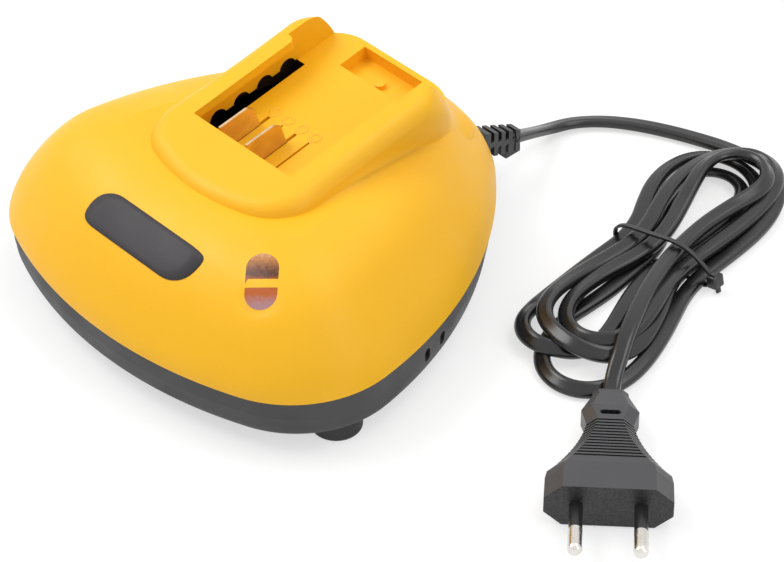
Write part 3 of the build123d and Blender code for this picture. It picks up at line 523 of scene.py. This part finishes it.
# what stays yellow, free of the painted shade: the channel, down to the deck or into the slots,
# and the latch pocket
CHANNEL_HALF = 23.9 * MM
CONTACTS_HALF = 20.0 * MM
SLOT_DEPTH = 2.5 * MM
DECK_DEPTH = 0.05 * MM
POCKET_LOW = Vector((-13.0, 32.0, 48.6)) * MM
POCKET_HIGH = Vector((13.0, 45.0, 57.0)) * MM
# a face gets the painted shade if more than this share of the rays from it meet the housing
HIDDEN_SHARE = 0.6
PROBE_RISE = 0.25 * MM
PROBE_REACH = 0.3
PROBE_TILTS = (math.radians(34.0), math.radians(64.0))
PROBE_TURNS = [math.radians(60.0 * step) for step in range(6)]


def surface_of(*names):
    """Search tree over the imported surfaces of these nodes."""
    vertices, faces = [], []
    for name in names:
        mesh = nodes[name].data
        first = len(vertices)
        vertices.extend(v.co.copy() for v in mesh.vertices)
        faces.extend(tuple(first + i for i in p.vertices) for p in mesh.polygons)
    return BVHTree.FromPolygons(vertices, faces)


def in_dock(point):
    """True in the battery's channel, the blades' slots and the latch pocket, which stay yellow."""
    depth = SLOT_DEPTH if abs(point.x) < CONTACTS_HALF else DECK_DEPTH
    over_deck = (point - DECK_START).dot(DECK_UP) > -depth
    in_pocket = all(POCKET_LOW[i] < point[i] < POCKET_HIGH[i] for i in range(3))
    return (abs(point.x) < CHANNEL_HALF and over_deck) or in_pocket


def hidden_share(tree, point, normal):
    """Share of the directions over a face that the housing closes off."""
    side = normal.orthogonal().normalized()
    around = normal.cross(side)
    directions = [normal]
    for tilt in PROBE_TILTS:
        for turn in PROBE_TURNS:
            across = side * math.cos(turn) + around * math.sin(turn)
            directions.append(normal * math.cos(tilt) + across * math.sin(tilt))
    start = point + normal * PROBE_RISE
    blocked = sum(tree.ray_cast(start, d, PROBE_REACH)[0] is not None for d in directions)
    return blocked / len(directions)


upper_shell = nodes["upper_housing"].data
upper_shell.materials.append(painted_shade_inside)
housing_tree = surface_of("upper_housing", "lower_housing")
# faces that the housing closes in take the painted shade in place of the yellow
for face in upper_shell.polygons:
    if in_dock(face.center):
        continue
    if hidden_share(housing_tree, face.center, face.normal) > HIDDEN_SHARE:
        face.material_index = 1


# ---- mains cord -----------------------------------------------------------------------------

CORD_WIDTH = 5.0
CORD_THICK = 3.1
FLOOR_GAP = 0.00002

# the section: how square its sides and faces are, and the groove between the cores, which starts
# at this share of the thickness from the middle
SECTION_POINTS = 24
SIDE_POWER = 0.72
FACE_POWER = 0.55
GROOVE_DEPTH = 0.22
GROOVE_WIDTH = 0.42
GROOVE_START = 0.2

# how the cord leans in its bends: points averaged to each side, lean per curvature, most lean
BANK_SPREAD = 14
BANK_GAIN = 9.5
BANK_LIMIT = 0.9
BANK_SIDE_ROOM = 0.06
BANK_FACE_ROOM = 0.05

# the route from the boot to the hank, then the hank's turns, then the run to the plug
LEAD = [
    (12.1, 80.6, 14.2), (10.6, 87.4, 11.1), (8.2, 95.6, 6.6), (6.6, 103.6, 2.9),
    (8.4, 111.8, 2.05), (14.6, 119.4, 2.05), (23.4, 125.8, 2.05), (33.4, 130.8, 2.05),
    (43.6, 134.8, 2.05), (51.6, 137.2, 2.05), (57.2, 138.2, 2.05),
]
TURN_1 = [
    (63.0, 138.8, 2.2), (69.6, 137.4, 2.3), (76.0, 132.2, 2.3), (81.0, 124.2, 2.2),
    (84.0, 114.6, 2.0), (85.4, 104.6, 1.8), (86.2, 94.6, 1.7), (87.0, 84.6, 1.7),
    (89.4, 75.2, 1.8), (93.6, 66.4, 1.9), (98.0, 56.8, 2.0), (101.8, 46.8, 2.1),
    (103.8, 37.6, 2.2), (103.2, 29.2, 2.3), (98.8, 22.8, 2.3), (91.6, 20.2, 2.3),
    (84.2, 22.0, 2.2), (78.2, 27.6, 2.0), (74.6, 35.2, 1.8), (73.2, 43.6, 1.7),
    (73.2, 52.4, 1.7), (72.8, 61.6, 1.7), (71.4, 71.4, 1.7), (69.8, 81.4, 1.7),
]
TURN_2 = [
    (66.6, 90.4, 1.8), (60.4, 98.6, 1.9), (54.8, 106.6, 2.0), (51.6, 114.2, 2.0),
    (52.2, 120.8, 2.0), (56.2, 125.4, 2.0), (61.8, 127.1, 2.0), (67.4, 125.4, 2.0),
    (71.2, 120.8, 2.0), (73.0, 114.4, 2.0), (74.8, 105.6, 1.9), (75.8, 96.4, 1.8),
    (75.6, 86.0, 1.7), (75.4, 76.4, 1.7), (78.0, 66.4, 1.7), (81.8, 57.4, 1.7),
    (85.6, 48.8, 1.8), (87.8, 41.0, 2.2), (87.0, 33.4, 3.4), (83.0, 28.2, 4.9),
    (77.4, 25.5, 5.4), (71.4, 26.6, 5.3), (67.0, 31.0, 4.8), (64.8, 37.4, 4.0),
    (63.4, 44.6, 3.0), (62.0, 52.6, 2.2), (60.8, 62.0, 1.9), (59.9, 71.6, 1.7),
    (59.3, 81.4, 1.7),
]
TURN_3 = [
    (56.6, 90.6, 1.8), (51.8, 98.6, 2.0), (47.2, 107.2, 2.2), (44.8, 116.4, 2.4),
    (45.8, 125.6, 2.4), (51.4, 131.6, 2.3), (60.6, 133.6, 2.2), (69.8, 130.2, 2.2),
    (76.2, 121.9, 2.1), (79.5, 111.6, 2.0), (81.0, 101.6, 1.8), (81.2, 91.6, 1.7),
    (81.4, 82.0, 1.7), (85.0, 73.2, 3.3), (90.2, 65.0, 4.4), (94.8, 56.0, 4.9),
    (98.4, 46.8, 5.2), (98.4, 39.0, 5.8), (94.2, 33.2, 7.0), (87.0, 30.4, 8.0),
    (79.2, 30.8, 8.2), (72.4, 34.0, 7.7), (67.6, 40.2, 6.9), (64.8, 49.4, 5.7),
    (64.0, 61.2, 4.7), (64.6, 71.2, 4.6), (64.4, 81.2, 4.6),
]
TURN_4 = [
    (61.8, 90.2, 4.8), (57.6, 98.8, 5.0), (54.2, 108.0, 5.2), (52.4, 117.6, 5.3),
    (52.6, 126.2, 5.4), (55.6, 133.2, 5.5), (61.0, 137.6, 5.6), (67.4, 138.0, 5.6),
    (73.2, 134.4, 5.6), (77.4, 127.4, 5.4), (80.2, 117.2, 5.2), (81.4, 106.8, 5.0),
    (82.0, 96.4, 4.9), (82.4, 86.2, 4.8), (84.4, 76.4, 6.0), (88.2, 67.2, 7.3),
    (92.2, 58.2, 7.9), (94.6, 50.0, 7.8), (94.4, 43.2, 7.2), (90.6, 38.2, 6.6),
    (84.6, 36.0, 6.2), (78.4, 37.6, 5.7), (73.4, 42.2, 5.3), (70.2, 48.8, 5.0),
    (69.0, 56.4, 4.8), (68.8, 65.4, 4.7), (69.6, 74.6, 4.7), (69.6, 83.6, 4.8),
]
TO_PLUG = [
    (67.4, 92.8, 5.4), (63.8, 101.8, 6.6), (60.0, 110.6, 7.8), (57.0, 118.4, 8.5),
    (56.8, 125.0, 8.7), (60.0, 130.2, 8.8), (65.4, 132.9, 8.8), (71.0, 131.6, 8.8),
    (75.2, 127.3, 8.7), (76.9, 120.6, 8.6), (76.2, 109.6, 8.4), (76.0, 98.8, 8.0),
    (77.4, 88.4, 7.7), (79.6, 79.2, 8.0), (83.4, 69.6, 9.2), (87.8, 60.2, 10.3),
    (92.4, 51.4, 10.9), (96.6, 43.6, 10.7), (100.2, 37.2, 9.4), (103.2, 31.6, 7.2),
    (106.4, 27.0, 5.7), (109.3, 23.3, 5.5),
]
ROUTE = [*LEAD, *TURN_1, *TURN_2, *TURN_3, *TURN_4, *TO_PLUG]


def cord_section():
    """Outline of a flat two-core cord: round edges and a shallow groove along both faces."""
    outline = []
    for step in range(SECTION_POINTS):
        angle = 2 * math.pi * step / SECTION_POINTS
        across = CORD_WIDTH / 2 * signed_power(math.cos(angle), SIDE_POWER)
        high = CORD_THICK / 2 * signed_power(math.sin(angle), FACE_POWER)
        dip = GROOVE_DEPTH * math.exp(-((across / GROOVE_WIDTH) ** 2))
        high -= math.copysign(dip, high) if abs(high) > GROOVE_START * CORD_THICK else 0.0
        outline.append((across * MM, high * MM))
    return outline


def lean_in_bends(line, ways):
    """How far the cord leans at each point: its curvature seen from above, averaged."""
    last = len(line) - 1
    turn = []
    for i in range(len(line)):
        before, after = max(i - 2, 0), min(i + 2, last)
        a, b = ways[before], ways[after]
        span = (line[after] - line[before]).length
        turn.append((a.x * b.y - a.y * b.x) / max(span, 1e-6) * MM)
    banks = []
    for i in range(len(line)):
        near = turn[max(i - BANK_SPREAD, 0):i + BANK_SPREAD + 1]
        banks.append(sum(near) / len(near) * BANK_GAIN)
    return banks


def most_lean(height):
    """The lean at which a cord with its centre this high just reaches the floor."""
    half_w, half_t = CORD_WIDTH / 2 + BANK_SIDE_ROOM, CORD_THICK / 2 + BANK_FACE_ROOM
    room = max(height / MM, half_t)
    share = (room * room - half_t * half_t) / (half_w * half_w - half_t * half_t)
    return min(math.asin(math.sqrt(min(max(share, 0.0), 1.0))), BANK_LIMIT)


def sweep_flat(name, line, outline):
    """Sweeps the section along the line. Its flat side leans outwards in the bends."""
    count, ring = len(line), len(outline)
    ways = [
        (line[min(i + 1, count - 1)] - line[max(i - 1, 0)]).normalized() for i in range(count)
    ]
    vertices = []
    for place, way, bank in zip(line, ways, lean_in_bends(line, ways)):
        side = Vector((way.y, -way.x, 0)).normalized()
        upright = side.cross(way).normalized()
        most = most_lean(place.z)
        bank = max(-most, min(most, bank))
        normal = upright * math.cos(bank) + side * math.sin(bank)
        across = side * math.cos(bank) - upright * math.sin(bank)
        section = [place + across * x + normal * y for x, y in outline]
        lift = max(0.0, FLOOR_GAP - min(v.z for v in section))
        vertices.extend(v + Vector((0, 0, lift)) for v in section)
    faces = tube_faces(count, ring)
    faces.append(tuple(range(ring)))
    faces.append(tuple((count - 1) * ring + j for j in range(ring)))
    return mesh_object(name, vertices, faces)


cord_line = curve_line("cord_line", [Vector(point) * MM for point in ROUTE], resolution=7)
cord = sweep_flat("mains_cord_flex", cord_line, cord_section())
cord.data.materials.append(sheath)
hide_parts("mains_cord", "cord_hank")
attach(cord, "root")


# ---- cable tie ------------------------------------------------------------------------------

# where the strap crosses the bundle, and how far it runs askew
TIE_AT = (74.0, 83.0)
TIE_LEAN = 0.10
# the strap's width and thickness, and its section in shares of them
TIE_BAND = 1.5
TIE_THICK = 0.8
TIE_SECTION = [(-0.5, 0.0), (-0.46, 0.75), (-0.36, 1.0), (0.36, 1.0), (0.46, 0.75), (0.5, 0.0)]
# the strap's inner line round the bundle: across the bundle and up
TIE_LOOP = [
    (56.4, 2.0), (56.6, 5.0), (59.8, 7.2), (64.5, 8.1), (70.0, 8.9), (76.0, 10.2),
    (81.0, 10.4), (85.6, 8.8), (89.6, 6.2), (92.0, 4.6), (91.4, 2.2), (88.6, 0.25),
    (80.0, 0.1), (70.0, 0.1), (61.0, 0.1), (57.6, 0.3),
]


def make_band(name):
    """The strap's closed band round the bundle."""
    line = curve_line(name, [
        Vector((across, TIE_AT[1] + (across - TIE_AT[0]) * TIE_LEAN, high)) * MM
        for across, high in TIE_LOOP
    ], resolution=8, closed=True)
    along = Vector((-TIE_LEAN, 1.0, 0.0)).normalized()
    middle = sum(line, Vector()) / len(line)
    count = len(line)
    vertices = []
    for i in range(count):
        way = (line[(i + 1) % count] - line[i - 1]).normalized()
        out = way.cross(along).normalized()
        if out.dot(line[i] - middle) < 0:
            out = -out
        for a, b in TIE_SECTION:
            place = line[i] + along * (a * TIE_BAND * MM) + out * (b * TIE_THICK * MM)
            place.z = max(place.z, FLOOR_GAP)
            vertices.append(place)
    return mesh_object(name, vertices, tube_faces(count, len(TIE_SECTION), closed=True))


def rounded_block(name, size, centre, turn, bevel):
    """A block with rounded edges."""
    work = bmesh.new()
    bmesh.ops.create_cube(work, size=1.0)
    for v in work.verts:
        v.co = Vector((v.co.x * size[0], v.co.y * size[1], v.co.z * size[2]))
    bmesh.ops.bevel(
        work, geom=work.edges[:], offset=bevel, segments=3, profile=0.5, affect="EDGES"
    )
    bmesh.ops.transform(work, matrix=turn.to_4x4(), verts=work.verts)
    for v in work.verts:
        v.co = (v.co + Vector(centre)) * MM
    mesh = bpy.data.meshes.new(name)
    work.to_mesh(mesh)
    work.free()
    for face in mesh.polygons:
        face.use_smooth = True
    return add_object(name, mesh)


def join(name, parts):
    """Several meshes as one object."""
    work = bmesh.new()
    for part in parts:
        work.from_mesh(part.data)
        bpy.data.objects.remove(part)
    mesh = bpy.data.meshes.new(name)
    work.to_mesh(mesh)
    work.free()
    return add_object(name, mesh)


lean = Matrix.Rotation(math.radians(-14), 3, "Y")
tie = join("cable_tie_nylon", [
    make_band("tie_band"),
    rounded_block("tie_head", (3.4, 4.2, 4.0), (93.0, 84.8, 4.2), lean, 0.55),
    rounded_block("tie_lip", (2.2, 2.6, 1.0), (92.7, 84.8, 6.4), lean, 0.35),
    rounded_block("tie_tail", (1.0, 1.7, 3.0), (94.2, 84.9, 2.0), lean, 0.3),
])
tie.data.materials.append(nylon)
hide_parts("cable_tie")
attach(tie, "root")


# ---- bare label plate and marks on the deck -------------------------------------------------

shell_tree = surface_of("upper_housing")

LABEL_CENTRE = Vector((0.0, -53.1, 42.4)) * MM
LABEL_NORMAL = Vector((0.0, -0.62, 0.785)).normalized()
LABEL_CORNERS = [
    (-22.0, -4.0), (-18.8, -6.0), (16.6, -6.2), (21.8, -2.4), (22.9, 5.0), (18.6, 5.9),
    (-16.0, 6.0), (-21.0, 2.7),
]
SIDEWAYS = Vector((1.0, 0.0, 0.0))

# the rim under the plate shows round it; roundings and lifts over the shell
PLATE_SHARE = (0.982, 0.94)
RIM_ROUND, PLATE_ROUND = 3.4, 3.2
RIM_LIFT, PLATE_LIFT = 0.16, 0.26

# a plate's rings of points, from its edge to a share just short of its middle
PLATE_RINGS = 5
PLATE_INWARDS = 0.985
PLATE_SUNK = -0.3
RAY_START = 8.0

CORNER_STEPS = 5
SIDE_STEPS = 8
# the rounding takes a little less than half of a side, so that two corners never meet
SIDE_SHARE = 2.05


def drape(name, outline, lift):
    """A thin plate with this outline, laid on the upper housing by rays along its normal."""
    top = LABEL_NORMAL.cross(SIDEWAYS).normalized()

    def land(x, y, high):
        above = LABEL_NORMAL * (RAY_START * MM)
        start = LABEL_CENTRE + SIDEWAYS * (x * MM) + top * (y * MM) + above
        hit, _, _, _ = shell_tree.ray_cast(start, -LABEL_NORMAL)
        return hit + LABEL_NORMAL * (high * MM)

    count = len(outline)
    inner = [1.0 - PLATE_INWARDS * (r + 1) / PLATE_RINGS for r in range(PLATE_RINGS)]
    levels = [(1.0, PLATE_SUNK), (1.0, lift), *[(share, lift) for share in inner]]
    vertices = [land(x * share, y * share, high) for share, high in levels for x, y in outline]
    faces = tube_faces(len(levels), count)
    faces.append(tuple((len(levels) - 1) * count + j for j in range(count)))
    plate = mesh_object(name, vertices, faces)
    for side_face in plate.data.polygons[:count]:
        side_face.use_smooth = False
    return plate


def towards(start, goal, radius):
    """The point this far from the start, or short of the middle of a short side."""
    way = goal - start
    return start + way.normalized() * min(radius, way.length / SIDE_SHARE)


def round_outline(corners, radius):
    """The corners' outline with every corner rounded, and points along the long sides."""
    out = []
    total = len(corners)
    for i in range(total):
        before, here, after = (Vector(corners[(i + d) % total]) for d in (-1, 0, 1))
        start, end = towards(here, before, radius), towards(here, after, radius)
        for s in range(CORNER_STEPS + 1):
            t = s / CORNER_STEPS
            out.append(tuple((1 - t) ** 2 * start + 2 * t * (1 - t) * here + t * t * end))
        following = towards(after, here, radius)
        for s in range(1, SIDE_STEPS):
            out.append(tuple(end.lerp(following, s / SIDE_STEPS)))
    return out


label_rim = drape("label_rim", round_outline(LABEL_CORNERS, RIM_ROUND), RIM_LIFT)
label_rim.data.materials.append(label_edge)
plate_corners = [(x * PLATE_SHARE[0], y * PLATE_SHARE[1]) for x, y in LABEL_CORNERS]
label = drape("label_plate", round_outline(plate_corners, PLATE_ROUND), PLATE_LIFT)
label.data.materials.append(label_black)
for piece in (label_rim, label):
    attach(piece, "root")

# centres of the four round marks beside the contacts: across and along the deck
DECK_MARKS = [(-12.3, 22.3), (-6.6, 22.3), (-0.9, 22.3), (4.8, 22.3)]
MARK_RADIUS = 1.55
MARK_THICK = 0.42
MARK_FLATNESS = 0.35
MARK_AROUND = 40
MARK_TUBE = 8


def flat_ring(name, centre):
    """A raised ring that lies on the deck."""
    other = DECK_UP.cross(SIDEWAYS)
    vertices = []
    for i in range(MARK_AROUND):
        a = 2 * math.pi * i / MARK_AROUND
        out = SIDEWAYS * math.cos(a) + other * math.sin(a)
        for j in range(MARK_TUBE):
            b = 2 * math.pi * j / MARK_TUBE
            vertices.append(
                centre + out * ((MARK_RADIUS + MARK_THICK * math.cos(b)) * MM)
                + DECK_UP * (MARK_THICK * MARK_FLATNESS * math.sin(b) * MM)
            )
    return mesh_object(name, vertices, tube_faces(MARK_AROUND, MARK_TUBE, closed=True))


marks = join("deck_marks", [
    flat_ring(f"mark_{i}", DECK_START + Vector((x * MM, 0, 0)) + SLIDE * (v * MM))
    for i, (x, v) in enumerate(DECK_MARKS)
])
marks.data.materials.append(mark_ink)
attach(marks, "root")


# ---- floor, world and lights ----------------------------------------------------------------

FLOOR_HALF = 3.0
# what the camera sees of the floor: this shade under the lamps and this glow, together white
FLOOR_SHADE = (0.42, 0.42, 0.42, 1.0)
FLOOR_GLOW = 0.60
# the world's light, from the horizon up to this share of the height
HORIZON = (0.31, 0.31, 0.32, 1.0)
SKY = (0.86, 0.855, 0.85, 1.0)
SKY_START = 0.85


def background_rays(tree):
    """1 for the rays that meet the white background: camera, glossy and transmission rays."""
    rays = tree.nodes.new("ShaderNodeLightPath")
    seen = rays.outputs["Is Camera Ray"]
    for kind in ("Is Glossy Ray", "Is Transmission Ray"):
        either = tree.nodes.new("ShaderNodeMath")
        either.operation = "MAXIMUM"
        tree.links.new(seen, either.inputs[0])
        tree.links.new(rays.outputs[kind], either.inputs[1])
        seen = either.outputs[0]
    return seen


def make_floor():
    """White paper that keeps the part's shadow."""
    made = Nodes("floor_paper")
    made.tree.nodes.remove(made.shader)
    paper = made.ramp(made.noise(60.0, 3.0), [
        (0.3, (0.80, 0.80, 0.80)), (0.7, (0.83, 0.83, 0.83)),
    ])
    plain = made.add("ShaderNodeBsdfDiffuse")
    made.link(paper, plain.inputs["Color"])
    seen = made.add("ShaderNodeBsdfDiffuse", Color=FLOOR_SHADE)
    glow = made.add("ShaderNodeEmission", Strength=FLOOR_GLOW)
    both = made.add("ShaderNodeAddShader")
    made.link(seen.outputs[0], both.inputs[0])
    made.link(glow.outputs[0], both.inputs[1])
    pick = made.add("ShaderNodeMixShader")
    made.link(background_rays(made.tree), pick.inputs[0])
    made.link(plain.outputs[0], pick.inputs[1])
    made.link(both.outputs[0], pick.inputs[2])
    made.link(pick.outputs[0], made.output.inputs["Surface"])
    mesh = bpy.data.meshes.new("floor")
    corners = [(-1, -1), (1, -1), (1, 1), (-1, 1)]
    mesh.from_pydata([(x * FLOOR_HALF, y * FLOOR_HALF, 0) for x, y in corners], [], [(0, 1, 2, 3)])
    floor = add_object("floor", mesh)
    floor.location = (0.0, 0.0, -FLOOR_GAP)
    mesh.materials.append(made.material)


def make_world():
    """A soft sky that lights the part, behind a white background."""
    world = bpy.data.worlds.new("studio")
    scene.world = world
    world.use_nodes = True
    tree = world.node_tree
    light = tree.nodes["Background"]
    light.inputs["Strength"].default_value = 1.0
    place = tree.nodes.new("ShaderNodeTexCoord")
    height = tree.nodes.new("ShaderNodeSeparateXYZ")
    tree.links.new(place.outputs["Generated"], height.inputs[0])
    fade = tree.nodes.new("ShaderNodeValToRGB")
    stops = fade.color_ramp.elements
    for stop, position, colour in zip(stops, (0.0, SKY_START), (HORIZON, SKY)):
        stop.position, stop.color = position, colour
    tree.links.new(height.outputs["Z"], fade.inputs["Fac"])
    tree.links.new(fade.outputs["Color"], light.inputs["Color"])
    white = tree.nodes.new("ShaderNodeBackground")
    white.inputs["Color"].default_value = (1.0, 1.0, 1.0, 1.0)
    white.inputs["Strength"].default_value = 1.0
    pick = tree.nodes.new("ShaderNodeMixShader")
    tree.links.new(background_rays(tree), pick.inputs[0])
    tree.links.new(light.outputs[0], pick.inputs[1])
    tree.links.new(white.outputs[0], pick.inputs[2])
    tree.links.new(pick.outputs[0], tree.nodes["World Output"].inputs["Surface"])


def area_light(name, place, aim, size, power):
    """A white rectangular lamp that points at a place."""
    lamp = bpy.data.lights.new(name, "AREA")
    lamp.shape = "RECTANGLE"
    lamp.size, lamp.size_y = size
    lamp.energy = power
    thing = add_object(name, lamp)
    thing.location = place
    thing.rotation_mode = "QUATERNION"
    thing.rotation_quaternion = (Vector(aim) - Vector(place)).to_track_quat("-Z", "Y")


make_floor()
make_world()
area_light("key", (-0.75, -0.40, 1.05), (0.0, 0.0, 0.02), (0.9, 0.7), 8.7)
area_light("top", (0.25, 0.55, 1.25), (0.02, 0.02, 0.0), (1.1, 0.6), 4.4)
area_light("side", (1.1, 0.2, 0.55), (0.05, 0.03, 0.02), (0.5, 0.6), 1.7)
